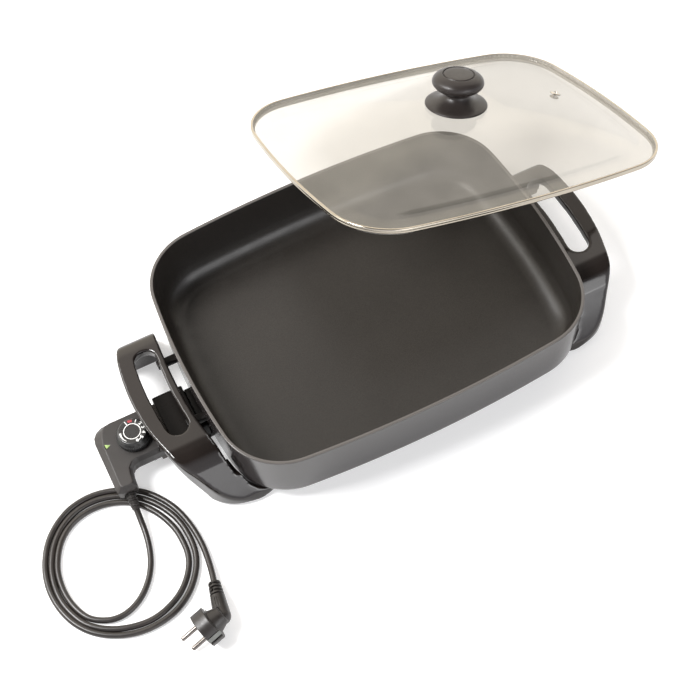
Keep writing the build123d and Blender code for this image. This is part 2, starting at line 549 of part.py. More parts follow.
# the loose turns as one flat ring
COIL_OUT = [
    (-340.3, -43.0), (-308.0, -55.0), (-284.5, -75.5), (-271.0, -101.0), (-268.6, -135.0), (-273.0, -164.0), (-290.6, -189.6), (-317.6, -206.2), (-350.0, -209.4),
    (-382.0, -199.2), (-407.4, -178.0), (-422.2, -144.0), (-423.9, -122.0), (-417.4, -92.6), (-401.0, -65.6), (-374.0, -46.8),
]
COIL_IN = [
    (-339.5, -64.4), (-316.6, -73.0), (-298.0, -91.4), (-284.6, -123.0), (-284.3, -151.0), (-302.0, -180.0), (-324.8, -192.4), (-351.6, -195.0),
    (-372.0, -188.6), (-392.6, -166.8), (-403.2, -142.6), (-404.8, -128.8), (-401.2, -103.8), (-387.8, -80.0), (-366.6, -66.4), (-354.0, -63.7),
]
coil = extrude(make_face(Spline(*COIL_OUT, periodic=True)), amount=6.5) - Pos(0, 0, -1) * extrude(make_face(Spline(*COIL_IN, periodic=True)), amount=9)
coil = Pos(0, 0, 0.05) * coil
coil -= tube(LEAD[2:], "beside lead", CORD_D / 2 + 0.05)
coil -= tube(TAIL[:6], "beside tail", CORD_D / 2 + 0.05)
save(max(coil.solids(), key=lambda s: s.volume), "supply_cord_coil")

# ---------------------------------------------------------------- angled earthed plug, lying on the table
PF = (-301.5, -238.1, 17.9)                     # middle of its face
PN = Vector(-0.9551, -0.1950, -0.2233).normalized()  # the way the pins point
PS = Vector(0.2838, -0.3838, -0.8787)
PS = (PS - PN * PS.dot(PN)).normalized()         # from pin to pin
PQ = PN.cross(PS)
PL = Plane(origin=PF, x_dir=PS, z_dir=PN).location
TT = Vector(*TAIL[-1])
TAIL_END = Vector(*TAIL[-1])
puck = PL * (Pos(0, 0, -14) * Cylinder(18.3, 14, align=(Align.CENTER, Align.CENTER, Align.MIN)))
nose_b = PL * (Pos(0, 0, -26) * Cone(8.8, 13.5, 13.0, align=(Align.CENTER, Align.CENTER, Align.MIN)))
elbow = (-277.8, -232.6, 17.2)
arm = cone(elbow, tuple(TT + (TT - Vector(*elbow)).normalized() * 1.5), 8.8, 6.4)
ball = Pos(*elbow) * Sphere(8.8)
TT = TT + (TT - Vector(*elbow)).normalized() * 0.15
plug = puck + nose_b + arm + ball
away = (Vector(*TAIL[-2]) - TAIL_END).normalized()
plug -= rod(tuple(TAIL_END), tuple(TAIL_END + away * 12), 13)
for s in (-1, 1):
    plug -= PL * (Pos(0, s * 17.6, -7.4) * Box(9.0, 5.4, 15.2))
for s in (-1, 1):
    plug -= PL * (Pos(s * 9.5, 0, -8) * Cylinder(2.0, 9, align=(Align.CENTER, Align.CENTER, Align.MIN)))
save(max(plug.solids(), key=lambda s: s.volume), "plug_body")
pp = []
for s in (-1, 1):
    c = Pos(s * 9.5, 0, 0) * Cylinder(2.4, 19, align=(Align.CENTER, Align.CENTER, Align.MIN))
    c = soften(c, [e for e in c.edges() if e.center().Z > 18.9], 2.0, 1.0)
    c += Pos(s * 9.5, 0, -8) * Cylinder(2.0, 9, align=(Align.CENTER, Align.CENTER, Align.MIN))
    pp.append(PL * c)
save(several(*pp), "plug_pins")
cl = [PL * (Pos(0, s * 15.9, -7.4) * Box(5.6, 1.6, 15.0)) for s in (-1, 1)]
save(several(*cl), "plug_earth_clips")
print("exit", EXIT, "plug face", PF, "pins", tuple(PN), "tips", tuple(Vector(*PF) + PN * 19), "PS", tuple(PS), "PQ", tuple(PQ))
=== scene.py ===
import bpy
import bmesh
from math import sin, cos, pi, sqrt, atan2, acos, hypot, radians, exp
from mathutils import Vector, Matrix


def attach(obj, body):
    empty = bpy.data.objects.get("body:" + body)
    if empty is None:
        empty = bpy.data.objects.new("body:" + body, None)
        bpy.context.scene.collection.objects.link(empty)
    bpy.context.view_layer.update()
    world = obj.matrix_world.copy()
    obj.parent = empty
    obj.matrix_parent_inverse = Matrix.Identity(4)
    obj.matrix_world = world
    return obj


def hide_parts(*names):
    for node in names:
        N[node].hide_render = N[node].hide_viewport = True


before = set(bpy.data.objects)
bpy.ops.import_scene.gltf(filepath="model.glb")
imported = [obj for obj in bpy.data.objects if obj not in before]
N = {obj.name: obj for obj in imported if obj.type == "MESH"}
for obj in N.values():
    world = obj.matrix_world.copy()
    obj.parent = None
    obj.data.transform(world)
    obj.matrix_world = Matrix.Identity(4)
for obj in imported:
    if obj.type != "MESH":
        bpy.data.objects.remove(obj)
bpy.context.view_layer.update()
scene = bpy.context.scene
scene.view_settings.view_transform = "Standard"
scene.view_settings.look = "None"
MM = 0.001

# ------------------------------------------------------------------ camera
cam_data = bpy.data.cameras.new("camera")
cam = bpy.data.objects.new("camera", cam_data)
scene.collection.objects.link(cam)
right, up, back = (0.891962, -0.450750, -0.035048), (0.405894, 0.764227, 0.501206), (-0.199134, -0.461282, 0.864618)
cam.matrix_world = Matrix((
    (right[0], up[0], back[0], -0.32193),
    (right[1], up[1], back[1], -0.69391),
    (right[2], up[2], back[2], 1.27406),
    (0, 0, 0, 1),
))
cam_data.lens = 69.0265
cam_data.sensor_width = 36.0
cam_data.clip_start, cam_data.clip_end = 0.05, 50
scene.camera = cam

# ------------------------------------------------------------------ cord: one smooth curve from the relief to the plug
CORD_D = 6.4
Z = 3.3
EXIT = (-309.3213, -86.4795, 12.0725)
EXIT_DIR = Vector((-0.06, -0.93, -0.36)).normalized()
P1 = tuple(EXIT[i] + EXIT_DIR[i] * 11.0 for i in range(3))
LEAD = [
    EXIT, P1, (-310.9, -113.0, 4.6), (-314.2, -131.0, Z), (-320.0, -147.0, Z), (-329.2, -161.5, Z),
    (-341.8, -173.4, Z), (-356.6, -180.6, Z), (-371.6, -181.8, Z), (-384.6, -177.0, Z),
]
TURN_1 = [
    (-395.9, -168.6), (-402.3, -156.8), (-406.5, -143.4), (-408.1, -128.8), (-407.1, -113.7), (-404.4, -102.8), (-398.6, -89.8), (-390.5, -77.9),
    (-379.9, -69), (-368, -63.3), (-354, -60.5), (-339.5, -61.1), (-326.3, -64.8), (-315.2, -69.8), (-305.3, -77.7), (-295.4, -89.4), (-287.1, -104.8),
    (-281.4, -122.3), (-280.4, -139.1), (-281.1, -151.2), (-284.4, -161.9), (-290.8, -172.6), (-299.9, -182.6), (-310.3, -190.1), (-323.8, -195.9),
    (-337.7, -198.9), (-351.6, -198.4), (-365.9, -195.1), (-379.3, -189.8),
]
TURN_2 = [
    (-391.7, -181.7), (-401.7, -171.5), (-408.8, -157.6), (-413.6, -141.5), (-414.6, -125.4), (-412.5, -109.1), (-408.6, -97), (-402.4, -84.2),
    (-394.3, -73.2), (-383.4, -63.5), (-370.3, -56.6), (-356, -53), (-341.4, -53.2), (-326.4, -56.8), (-313.9, -62.6), (-301.1, -71.6), (-289.8, -84),
    (-280.2, -100.2), (-274.2, -117), (-272.3, -135.3), (-273, -150.1), (-276.3, -162.6), (-283, -174.9), (-293.1, -187.1), (-305, -196.3),
    (-318.8, -202.7), (-334.3, -205.7), (-350, -205.9), (-365.8, -202.7), (-380.4, -196.3),
]
TURN_3 = [
    (-393.9, -187.3), (-404.9, -175.7), (-413.3, -161.2), (-418.9, -143), (-420.7, -124.9), (-418.7, -107.6), (-414.5, -94), (-407.6, -79.7),
    (-398.8, -68.1), (-387, -57.9), (-372.6, -49.8), (-356.6, -46.2), (-340.3, -46.3), (-323.9, -50.6), (-310.2, -57.4), (-297, -65.3), (-286.7, -76.4),
]
TAIL = [
    (-276.6, -91.6, Z), (-270.1, -107.3, Z), (-266.2, -124.9, Z), (-264.7, -139.0, Z), (-264.4, -154.0, Z),
    (-266.2, -171.0, 4.6), (-268.6, -186.1, 7.26), (-270.6, -194.0, 8.2),
]


def at_z(points):
    return [(x, y, Z) for x, y in points]


route = LEAD + at_z(TURN_1) + at_z(TURN_2) + at_z(TURN_3) + TAIL
cord_curve = bpy.data.curves.new("supply_cord", "CURVE")
cord_curve.dimensions = "3D"
sp = cord_curve.splines.new("NURBS")
sp.points.add(len(route) - 1)
for p, c in zip(sp.points, route):
    p.co = (c[0] * MM, c[1] * MM, c[2] * MM, 1.0)
sp.order_u = 3
sp.use_endpoint_u = True
sp.resolution_u = 8
cord_curve.bevel_depth = CORD_D / 2 * MM
cord_curve.bevel_resolution = 6
cord_curve.use_fill_caps = True
cord = bpy.data.objects.new("supply_cord", cord_curve)
scene.collection.objects.link(cord)


# ------------------------------------------------------------------ helpers
def link(me, name, smooth=True):
    ob = bpy.data.objects.new(name, me)
    scene.collection.objects.link(ob)
    if smooth:
        for p in me.polygons:
            p.use_smooth = True
    return ob


def mesh(name, verts, faces, smooth=True):
    me = bpy.data.meshes.new(name)
    me.from_pydata([tuple(c * MM for c in v) for v in verts], [], faces)
    me.validate()
    ob = link(me, name, smooth)
    bm = bmesh.new()
    bm.from_mesh(me)
    bmesh.ops.recalc_face_normals(bm, faces=bm.faces)
    bm.to_mesh(me)
    bm.free()
    return ob


def apply_mods(ob):
    dg = bpy.context.evaluated_depsgraph_get()
    me = bpy.data.meshes.new_from_object(ob.evaluated_get(dg))
    ob.modifiers.clear()
    ob.data = me
    return ob


def sharp_by_angle(ob, deg=35):
    me = ob.data
    bm = bmesh.new()
    bm.from_mesh(me)
    lim = radians(deg)
    for e in bm.edges:
        e.smooth = not (len(e.link_faces) == 2 and e.calc_face_angle(0) > lim)
    for f in bm.faces:
        f.smooth = True
    bm.to_mesh(me)
    bm.free()


def grid_faces(rows, cols, closed=True):
    f = []
    for r in range(rows - 1):
        for c in range(cols if closed else cols - 1):
            d = (c + 1) % cols
            f.append((r * cols + c, r * cols + d, (r + 1) * cols + d, (r + 1) * cols + c))
    return f


def rings(name, ring_list, cap_start=False, cap_end=False, loop=False, smooth=True):
    """A surface through rings of points, all with the same count."""
    n = len(ring_list[0])
    verts = [p for ring in ring_list for p in ring]
    faces = grid_faces(len(ring_list), n)
    if loop:
        last = (len(ring_list) - 1) * n
        for c in range(n):
            d = (c + 1) % n
            faces.append((last + c, last + d, d, c))
    for flag, base, first in ((cap_start, 0, True), (cap_end, (len(ring_list) - 1) * n, False)):
        if flag:
            m = [sum(verts[base + i][k] for i in range(n)) / n for k in range(3)]
            verts.append(tuple(m))
            k = len(verts) - 1
            for c in range(n):
                faces.append((base + c, base + (c + 1) % n, k))
    return mesh(name, verts, faces, smooth)


def lathe(name, prof, segs=96, matrix=None, smooth=True, wave=None):
    """A profile of (r, z) turned about Z. wave(angle, i) adds to the radius."""
    out = []
    for i, (r, z) in enumerate(prof):
        ring = []
        for s in range(segs):
            a = 2 * pi * s / segs
            rr = r + (wave(a, i) if wave else 0)
            v = Vector((rr * cos(a), rr * sin(a), z))
            if matrix is not None:
                v = matrix @ v
            ring.append(tuple(v))
        out.append(ring)
    return rings(name, out, True, True, smooth=smooth)


def smooth_curve(points, n=8):
    """Points along a Catmull-Rom curve through the given ones."""
    out = []
    m = len(points)
    for i in range(m - 1):
        p0, p1, p2, p3 = points[max(i - 1, 0)], points[i], points[i + 1], points[min(i + 2, m - 1)]
        for k in range(n):
            t = k / n
            out.append(tuple(
                0.5 * (2 * b + (c - a) * t + (2 * a - 5 * b + 4 * c - d) * t * t + (3 * b - a - 3 * c + d) * t ** 3)
                for a, b, c, d in zip(p0, p1, p2, p3)
            ))
    out.append(points[-1])
    return out


def soft_copy(nodes, name, voxel, iters, extra=(), factor=0.5):
    """A moulded version of CAD solids: remeshed evenly and relaxed, so that every edge is rounded."""
    verts, faces = [], []
    for nd in nodes:
        me = N[nd].data
        base = len(verts)
        verts += [tuple(v.co) for v in me.vertices]
        faces += [tuple(base + i for i in p.vertices) for p in me.polygons]
    for e in extra:
        base = len(verts)
        verts += [tuple(v.co) for v in e.data.vertices]
        faces += [tuple(base + i for i in p.vertices) for p in e.data.polygons]
        bpy.data.objects.remove(e)
    me = bpy.data.meshes.new(name)
    me.from_pydata(verts, [], faces)
    ob = link(me, name)
    m = ob.modifiers.new("r", "REMESH")
    m.mode = "VOXEL"
    m.voxel_size = voxel * MM
    m.use_smooth_shade = True
    s = ob.modifiers.new("s", "SMOOTH")
    s.factor = factor
    s.iterations = iters
    apply_mods(ob)
    for p in ob.data.polygons:
        p.use_smooth = True
    return ob


# ------------------------------------------------------------------ materials
def ramp(nt, fac, stops):
    r = nt.nodes.new("ShaderNodeValToRGB")
    while len(r.color_ramp.elements) > 1:
        r.color_ramp.elements.remove(r.color_ramp.elements[-1])
    r.color_ramp.elements[0].position = stops[0][0]
    r.color_ramp.elements[0].color = (*stops[0][1], 1)
    for pos, col in stops[1:]:
        e = r.color_ramp.elements.new(pos)
        e.color = (*col, 1)
    nt.links.new(fac, r.inputs["Fac"])
    return r.outputs["Color"]


def noise(nt, scale, detail=3, rough=0.55, coord=None, stretch=None):
    tc = nt.nodes.new("ShaderNodeTexCoord")
    src = tc.outputs["Object"]
    if stretch:
        mp = nt.nodes.new("ShaderNodeMapping")
        mp.inputs["Scale"].default_value = stretch
        nt.links.new(src, mp.inputs["Vector"])
        src = mp.outputs["Vector"]
    n = nt.nodes.new("ShaderNodeTexNoise")
    n.inputs["Scale"].default_value = scale
    n.inputs["Detail"].default_value = detail
    n.inputs["Roughness"].default_value = rough
    nt.links.new(src, n.inputs["Vector"])
    return n.outputs["Fac"]


def map_range(nt, v, a, b, lo=0.3, hi=0.7):
    m = nt.nodes.new("ShaderNodeMapRange")
    m.inputs["From Min"].default_value = lo
    m.inputs["From Max"].default_value = hi
    m.inputs["To Min"].default_value = a
    m.inputs["To Max"].default_value = b
    nt.links.new(v, m.inputs["Value"])
    return m.outputs["Result"]


def bump(nt, height, strength, dist, normal=None):
    b = nt.nodes.new("ShaderNodeBump")
    b.inputs["Strength"].default_value = strength
    b.inputs["Distance"].default_value = dist * MM
    nt.links.new(height, b.inputs["Height"])
    if normal is not None:
        nt.links.new(normal, b.inputs["Normal"])
    return b.outputs["Normal"]


def material(name, dark, light, rough, metal=0.0, grain=(900, 0.15, 0.05), tone=6.0, wave=None, coat=0.0, stretch=None, spec=0.5):
    """Colour drifts between dark and light over about a sixth of the piece, roughness varies, and a fine grain sits on top."""
    m = bpy.data.materials.new(name)
    m.use_nodes = True
    nt = m.node_tree
    p = nt.nodes["Principled BSDF"]
    p.inputs["Metallic"].default_value = metal
    p.inputs["Specular IOR Level"].default_value = spec
    if coat:
        p.inputs["Coat Weight"].default_value = coat
        p.inputs["Coat Roughness"].default_value = 0.08
    big = noise(nt, tone, 3)
    nt.links.new(ramp(nt, big, [(0.3, dark), (0.7, light)]), p.inputs["Base Color"])
    mid = noise(nt, tone * 9, 4)
    nt.links.new(map_range(nt, mid, rough[0], rough[1]), p.inputs["Roughness"])
    nrm = None
    if wave:
        nrm = bump(nt, noise(nt, wave[0], 2), wave[1], wave[2])
    if grain:
        nrm = bump(nt, noise(nt, grain[0], 2, stretch=stretch), grain[1], grain[2], nrm)
    if nrm is not None:
        nt.links.new(nrm, p.inputs["Normal"])
    m.diffuse_color = (*light, 1)
    return m


def z_mask(nt, z0, z1):
    """0 below height z0 and 1 above z1, in millimetres."""
    tc = nt.nodes.new("ShaderNodeTexCoord")
    s = nt.nodes.new("ShaderNodeSeparateXYZ")
    nt.links.new(tc.outputs["Object"], s.inputs["Vector"])
    return map_range(nt, s.outputs["Z"], 0, 1, z0 * MM, z1 * MM)


def pan_material(name, inside):
    m = bpy.data.materials.new(name)
    m.use_nodes = True
    nt = m.node_tree
    p = nt.nodes["Principled BSDF"]
    if inside:
        dark, light = (0.0105, 0.0088, 0.0075), (0.023, 0.020, 0.0172)
    else:
        dark, light = (0.020, 0.0172, 0.0168), (0.025, 0.0216, 0.0214)
    speck = noise(nt, 1500 if inside else 700, 2, 0.6)
    fine = ramp(nt, speck, [(0.38, dark), (0.60, light)])
    big = ramp(nt, noise(nt, 9, 3), [(0.3, (0.86, 0.86, 0.86)), (0.7, (1.08, 1.08, 1.08))])
    mul = nt.nodes.new("ShaderNodeMix")
    mul.data_type = "RGBA"
    mul.blend_type = "MULTIPLY"
    mul.inputs["Factor"].default_value = 1.0
    nt.links.new(fine, mul.inputs["A"])
    nt.links.new(big, mul.inputs["B"])
    # painted highlight: the lip's top is coloured lighter, a thin bright edge standing for the light that catches the
    # rolled rim
    lip = nt.nodes.new("ShaderNodeMix")
    lip.data_type = "RGBA"
    nt.links.new(z_mask(nt, 89.0, 89.7), lip.inputs["Factor"])
    nt.links.new(mul.outputs["Result"], lip.inputs["A"])
    lip.inputs["B"].default_value = (0.085, 0.078, 0.073, 1)
    nt.links.new(lip.outputs["Result"], p.inputs["Base Color"])
    r = map_range(nt, noise(nt, 60 if inside else 12, 4), 0.30 if inside else 0.15, 0.38 if inside else 0.19)
    nt.links.new(r, p.inputs["Roughness"])
    n1 = bump(nt, noise(nt, 1100 if inside else 1500, 2, 0.6), 0.5 if inside else 0.05, 0.05 if inside else 0.02)
    if inside:
        n1 = bump(nt, noise(nt, 520, 2, 0.6), 0.3, 0.06, n1)
    nt.links.new(n1, p.inputs["Normal"])
    p.inputs["Specular IOR Level"].default_value = 0.42 if inside else 0.36
    return m


def glass_material(name, color=(1, 1, 1), mirror_glow_share=0.052):
    """Clear pane: light goes straight through it, and each side mirrors a little and glows faintly as a painted
    reflection of the bright surroundings. Faint smears vary the mirror and the glow.
    """
    m = bpy.data.materials.new(name)
    m.use_nodes = True
    nt = m.node_tree
    p = nt.nodes["Principled BSDF"]
    out = nt.nodes["Material Output"]
    p.inputs["Metallic"].default_value = 1.0
    p.inputs["Base Color"].default_value = (0.96, 0.95, 0.93, 1)
    p.inputs["Roughness"].default_value = 0.02
    p.inputs["Emission Color"].default_value = (1.0, 0.94, 0.82, 1)     # painted reflection: a faint even glow on the pane standing for the bright surroundings it mirrors
    p.inputs["Emission Strength"].default_value = 1.5
    nt.links.new(bump(nt, noise(nt, 14, 2), 0.03, 0.2), p.inputs["Normal"])
    clear = nt.nodes.new("ShaderNodeBsdfTransparent")
    clear.inputs["Color"].default_value = (*color, 1)
    mix = nt.nodes.new("ShaderNodeMixShader")
    nt.links.new(map_range(nt, noise(nt, 25, 3), mirror_glow_share * 0.9, mirror_glow_share * 1.1), mix.inputs["Fac"])
    nt.links.new(clear.outputs["BSDF"], mix.inputs[1])
    nt.links.new(p.outputs["BSDF"], mix.inputs[2])
    nt.links.new(mix.outputs["Shader"], out.inputs["Surface"])
    return m


M_IN = pan_material("pan_inside", True)
M_OUT = pan_material("pan_outside", False)
M_GLOSS = material("glossy_phenolic", (0.007, 0.0052, 0.0045), (0.013, 0.0098, 0.0085), (0.07, 0.12), grain=(1300, 0.04, 0.02), wave=(110, 0.03, 0.12), tone=8)
# painted shade: darker and more matte than the handles' glossy phenolic, standing for the shade under the handles where
# the inlet, lugs and bosses sit
M_SHROUD_SHADE = material("shroud_phenolic_shaded", (0.004, 0.0032, 0.0028), (0.007, 0.0056, 0.005), (0.26, 0.36), grain=(1300, 0.1, 0.02), tone=14, spec=0.12)
M_PHEN = material("knob_phenolic", (0.015, 0.0122, 0.011), (0.023, 0.0188, 0.0172), (0.30, 0.40), grain=(1600, 0.22, 0.03), tone=18, spec=0.32)
M_CTRL = material("control_plastic", (0.0115, 0.0094, 0.0085), (0.016, 0.013, 0.0119), (0.40, 0.50), grain=(1900, 0.35, 0.03), tone=14)
M_BLOCK = material("block_phenolic", (0.03, 0.024, 0.02), (0.045, 0.036, 0.03), (0.45, 0.6), grain=(800, 0.3, 0.05), tone=20)
M_DIAL = material("dial_plastic", (0.007, 0.007, 0.007), (0.012, 0.012, 0.012), (0.26, 0.36), grain=(2200, 0.15, 0.02), tone=25)
M_CORD = material("cord_sheath", (0.014, 0.0115, 0.010), (0.024, 0.020, 0.0175), (0.28, 0.38), grain=(1400, 0.16, 0.03), tone=30)
M_PLUG = material("plug_rubber", (0.0095, 0.0076, 0.0065), (0.016, 0.0128, 0.011), (0.34, 0.46), grain=(1700, 0.25, 0.03), tone=25)
M_RUB = material("foot_rubber", (0.012, 0.012, 0.012), (0.022, 0.021, 0.021), (0.6, 0.75), grain=(900, 0.4, 0.05), tone=25)
M_STEEL = material("lid_steel", (0.32, 0.29, 0.24), (0.40, 0.365, 0.31), (0.09, 0.15), metal=1.0, grain=(420, 0.10, 0.02), tone=14, stretch=(1, 1, 8))
M_VENT = material("vent_steel", (0.40, 0.38, 0.34), (0.50, 0.47, 0.43), (0.2, 0.3), metal=1.0, grain=(420, 0.10, 0.02), tone=14)
M_CLIP = material("clip_steel", (0.10, 0.105, 0.10), (0.16, 0.165, 0.16), (0.35, 0.5), metal=1.0, grain=(900, 0.12, 0.02), tone=40)
M_PIN = material("pin_steel", (0.13, 0.117, 0.108), (0.19, 0.172, 0.16), (0.24, 0.34), metal=1.0, grain=(700, 0.1, 0.02), tone=30)
M_SCREW = material("screw_steel", (0.36, 0.36, 0.37), (0.50, 0.50, 0.51), (0.3, 0.42), metal=1.0, grain=(900, 0.12, 0.02), tone=40)
M_ELEM = material("element_sheath", (0.10, 0.09, 0.085), (0.20, 0.18, 0.17), (0.4, 0.6), metal=1.0, grain=(500, 0.2, 0.04), tone=20)
M_CERA = material("bead_ceramic", (0.72, 0.69, 0.63), (0.84, 0.82, 0.77), (0.5, 0.65), grain=(1200, 0.2, 0.03), tone=60)
M_SIL = material("silicone", (0.42, 0.40, 0.37), (0.52, 0.50, 0.47), (0.4, 0.5), grain=(900, 0.1, 0.03), tone=20)
M_WIRE = material("wire_sheath", (0.30, 0.10, 0.03), (0.42, 0.16, 0.05), (0.4, 0.5), grain=(1200, 0.1, 0.02), tone=60)
M_GLASS = glass_material("lid_glass", (0.73, 0.722, 0.708))
M_LAMPG = glass_material("lamp_glass", (1.0, 0.75, 0.6), 0.03)
M_WHITE = material("print_white", (0.70, 0.70, 0.68), (0.80, 0.80, 0.78), (0.45, 0.55), grain=(2000, 0.1, 0.01), tone=90)
M_RED = material("print_red", (0.22, 0.02, 0.03), (0.32, 0.03, 0.04), (0.45, 0.55), grain=(2000, 0.1, 0.01), tone=90)
M_GREEN = material("lamp_green", (0.16, 0.24, 0.08), (0.28, 0.38, 0.14), (0.15, 0.25), grain=(1500, 0.1, 0.02), tone=120, coat=0.5)
gp = M_GREEN.node_tree.nodes["Principled BSDF"]
gp.inputs["Emission Color"].default_value = (0.32, 0.5, 0.16, 1)
gp.inputs["Emission Strength"].default_value = 0.2


def paint(ob, m):
    ob.data.materials.clear()
    ob.data.materials.append(m)
    return ob


def paint_node(names, m):
    for n in names:
        o = N[n]
        if not o.data.materials:
            o.data.materials.append(m)
        for i in range(len(o.data.materials)):
            o.data.materials[i] = m


def place(ob, m, body, slot, *nodes):
    paint(ob, m)
    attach(ob, body)
    if nodes:
        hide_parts(*nodes)
    return ob


paint_node(["heating_element"], M_ELEM)
paint_node(["terminal_pins", "contact_sockets", "probe_rod", "plug_pins"], M_PIN)
paint_node(["plug_earth_clips"], M_CLIP)
paint_node(["ceramic_beads"], M_CERA)
paint_node(["inlet_screws", "handle_screws", "housing_screws", "knob_screw", "knob_insert", "cord_clamp", "thermostat_switch", "dial_shaft"], M_SCREW)
paint_node(["foot_pads"], M_RUB)
paint_node(["lid_gasket", "knob_seal"], M_SIL)
paint_node(["knob_washer"], M_STEEL)
paint_node(["indicator_lens"], M_GREEN)
paint_node(["neon_lamp"], M_LAMPG)
paint_node(["connector_block"], M_BLOCK)
paint_node(["internal_wires"], M_WIRE)
paint_node(["cord_inner_end"], M_CORD)

# ------------------------------------------------------------------ the rim outline, with its outward normals
HALF_L, HALF_W, SAG_L, SAG_S, RC = 210.0, 158.9, 14.4, 15.8, 69.6
RL = (HALF_L ** 2 + SAG_L ** 2) / (2 * SAG_L)
RS = (HALF_W ** 2 + SAG_S ** 2) / (2 * SAG_S)


def corner_centre():
    x, y = HALF_L - RC, HALF_W - RC
    for _ in range(60):
        f1 = x * x + (y - HALF_W + RL) ** 2 - (RL - RC) ** 2
        f2 = (x - HALF_L + RS) ** 2 + y * y - (RS - RC) ** 2
        j11, j12, j21, j22 = 2 * x, 2 * (y - HALF_W + RL), 2 * (x - HALF_L + RS), 2 * y
        det = j11 * j22 - j12 * j21
        x -= (f1 * j22 - f2 * j12) / det
        y -= (f2 * j11 - f1 * j21) / det
    return x, y


CX, CY_ = corner_centre()
A_S = atan2(CY_, CX - HALF_L + RS)          # where the short side's arc meets the corner
A_L = atan2(CX, CY_ - HALF_W + RL)          # the same for the long side, from +Y


def quarter(n_s, n_c, n_l):
    out = []
    for i in range(n_s):
        a = A_S * i / n_s
        out.append(((HALF_L - RS) + RS * cos(a), RS * sin(a), cos(a), sin(a)))
    a0, a1 = A_S, pi / 2 - A_L
    for i in range(n_c):
        a = a0 + (a1 - a0) * i / n_c
        out.append((CX + RC * cos(a), CY_ + RC * sin(a), cos(a), sin(a)))
    for i in range(n_l):
        a = pi / 2 - A_L + A_L * i / n_l
        out.append((RL * cos(a), (HALF_W - RL) + RL * sin(a), cos(a), sin(a)))
    return out


def outline(n_s=14, n_c=16, n_l=18):
    q = quarter(n_s, n_c, n_l)
    top = (0.0, HALF_W, 0.0, 1.0)
    out = list(q)
    out.append(top)
    out += [(-x, y, -nx, ny) for x, y, nx, ny in reversed(q[1:])]
    out += [(-x, -y, -nx, -ny) for x, y, nx, ny in q]
    out.append((0.0, -HALF_W, 0.0, -1.0))
    out += [(x, -y, nx, -ny) for x, y, nx, ny in reversed(q[1:])]
    return out


RIM = outline()


def rim_ring(d, z, k=1.0):
    """The outline moved in by d and scaled by k, at height z (a number, or a function of x and y)."""
    out = []
    for x, y, nx, ny in RIM:
        px, py = (x - d * nx) * k, (y - d * ny) * k
        out.append((px, py, z(px, py) if callable(z) else z))
    return out


# ------------------------------------------------------------------ pan
DRAFT, WALL, BASE, FLOOR, TOP = 3.0, 3.6, 12.0, 18.5, 90.0


def d_out(z):
    return DRAFT * (TOP - z) / (TOP - BASE)


prof = []                                      # outside, from the base to the lip
for k in (0.06, 0.25, 0.5, 0.75, 1.0):
    prof.append((60.0, BASE, k))
for d in (45.0, 30.0):
    prof.append((d, BASE, 1))
R = 14.0
for i in range(11):
    a = pi / 2 * i / 10
    prof.append((DRAFT - 0.35 + R * (1 - sin(a)), BASE + R * (1 - cos(a)), 1))
for z in (40, 54, 68, 80, 87, 88.6):
    prof.append((d_out(z), z, 1))
er = 1.0
for i in range(1, 6):
    a = pi / 2 * i / 5
    prof.append((er * (1 - cos(a)), TOP - er + er * sin(a), 1))
outside = prof
lip = [(WALL * 0.5, TOP, 1)]
prof = []                                      # inside, from the lip to the middle of the floor
for i in range(5, -1, -1):
    a = pi / 2 * i / 5
    prof.append((WALL - er * (1 - cos(a)), TOP - er + er * sin(a), 1))
for z in (86, 78, 68, 56, 44.5):
    prof.append((WALL + DRAFT * (TOP - z) / (TOP - FLOOR), z, 1))
R = 24.0
for i in range(13):
    a = pi / 2 * i / 12
    prof.append((WALL + DRAFT - 0.9 + R * (1 - cos(a)), FLOOR + R * (1 - sin(a)), 1))
for d in (42.0, 52.0, 60.0):
    prof.append((d, FLOOR, 1))
for k in (0.85, 0.65, 0.45, 0.25, 0.06):
    prof.append((60.0, FLOOR, k))
inside = prof
pan = rings("pan", [rim_ring(d, z, k) for d, z, k in outside + lip + inside], True, True)
pan.data.materials.append(M_OUT)
pan.data.materials.append(M_IN)
n_ring = len(RIM)
split = (len(outside) + 1) * n_ring
for p in pan.data.polygons:
    p.material_index = 1 if min(p.vertices) >= split - n_ring and p.center.z > 0.0185 - 1e-4 and len(p.vertices) > 2 and p.index >= (len(outside)) * n_ring else 0


def block_mesh(name, x0, x1, y0, y1, z0, z1, r=1.0):
    bm = bmesh.new()
    bmesh.ops.create_cube(bm, size=1.0)
    for v in bm.verts:
        v.co = Vector(((x0 + x1) / 2 + v.co.x * abs(x1 - x0), (y0 + y1) / 2 + v.co.y * abs(y1 - y0), (z0 + z1) / 2 + v.co.z * abs(z1 - z0))) * MM
    bmesh.ops.bevel(bm, geom=list(bm.edges), offset=r * MM, segments=3, affect="EDGES", profile=0.5)
    me = bpy.data.meshes.new(name)
    bm.to_mesh(me)
    bm.free()
    return link(me, name)


def join(main, others):
    bpy.context.view_layer.update()
    with bpy.context.temp_override(active_object=main, object=main, selected_objects=[main, *others], selected_editable_objects=[main, *others]):
        bpy.ops.object.join()
    return main


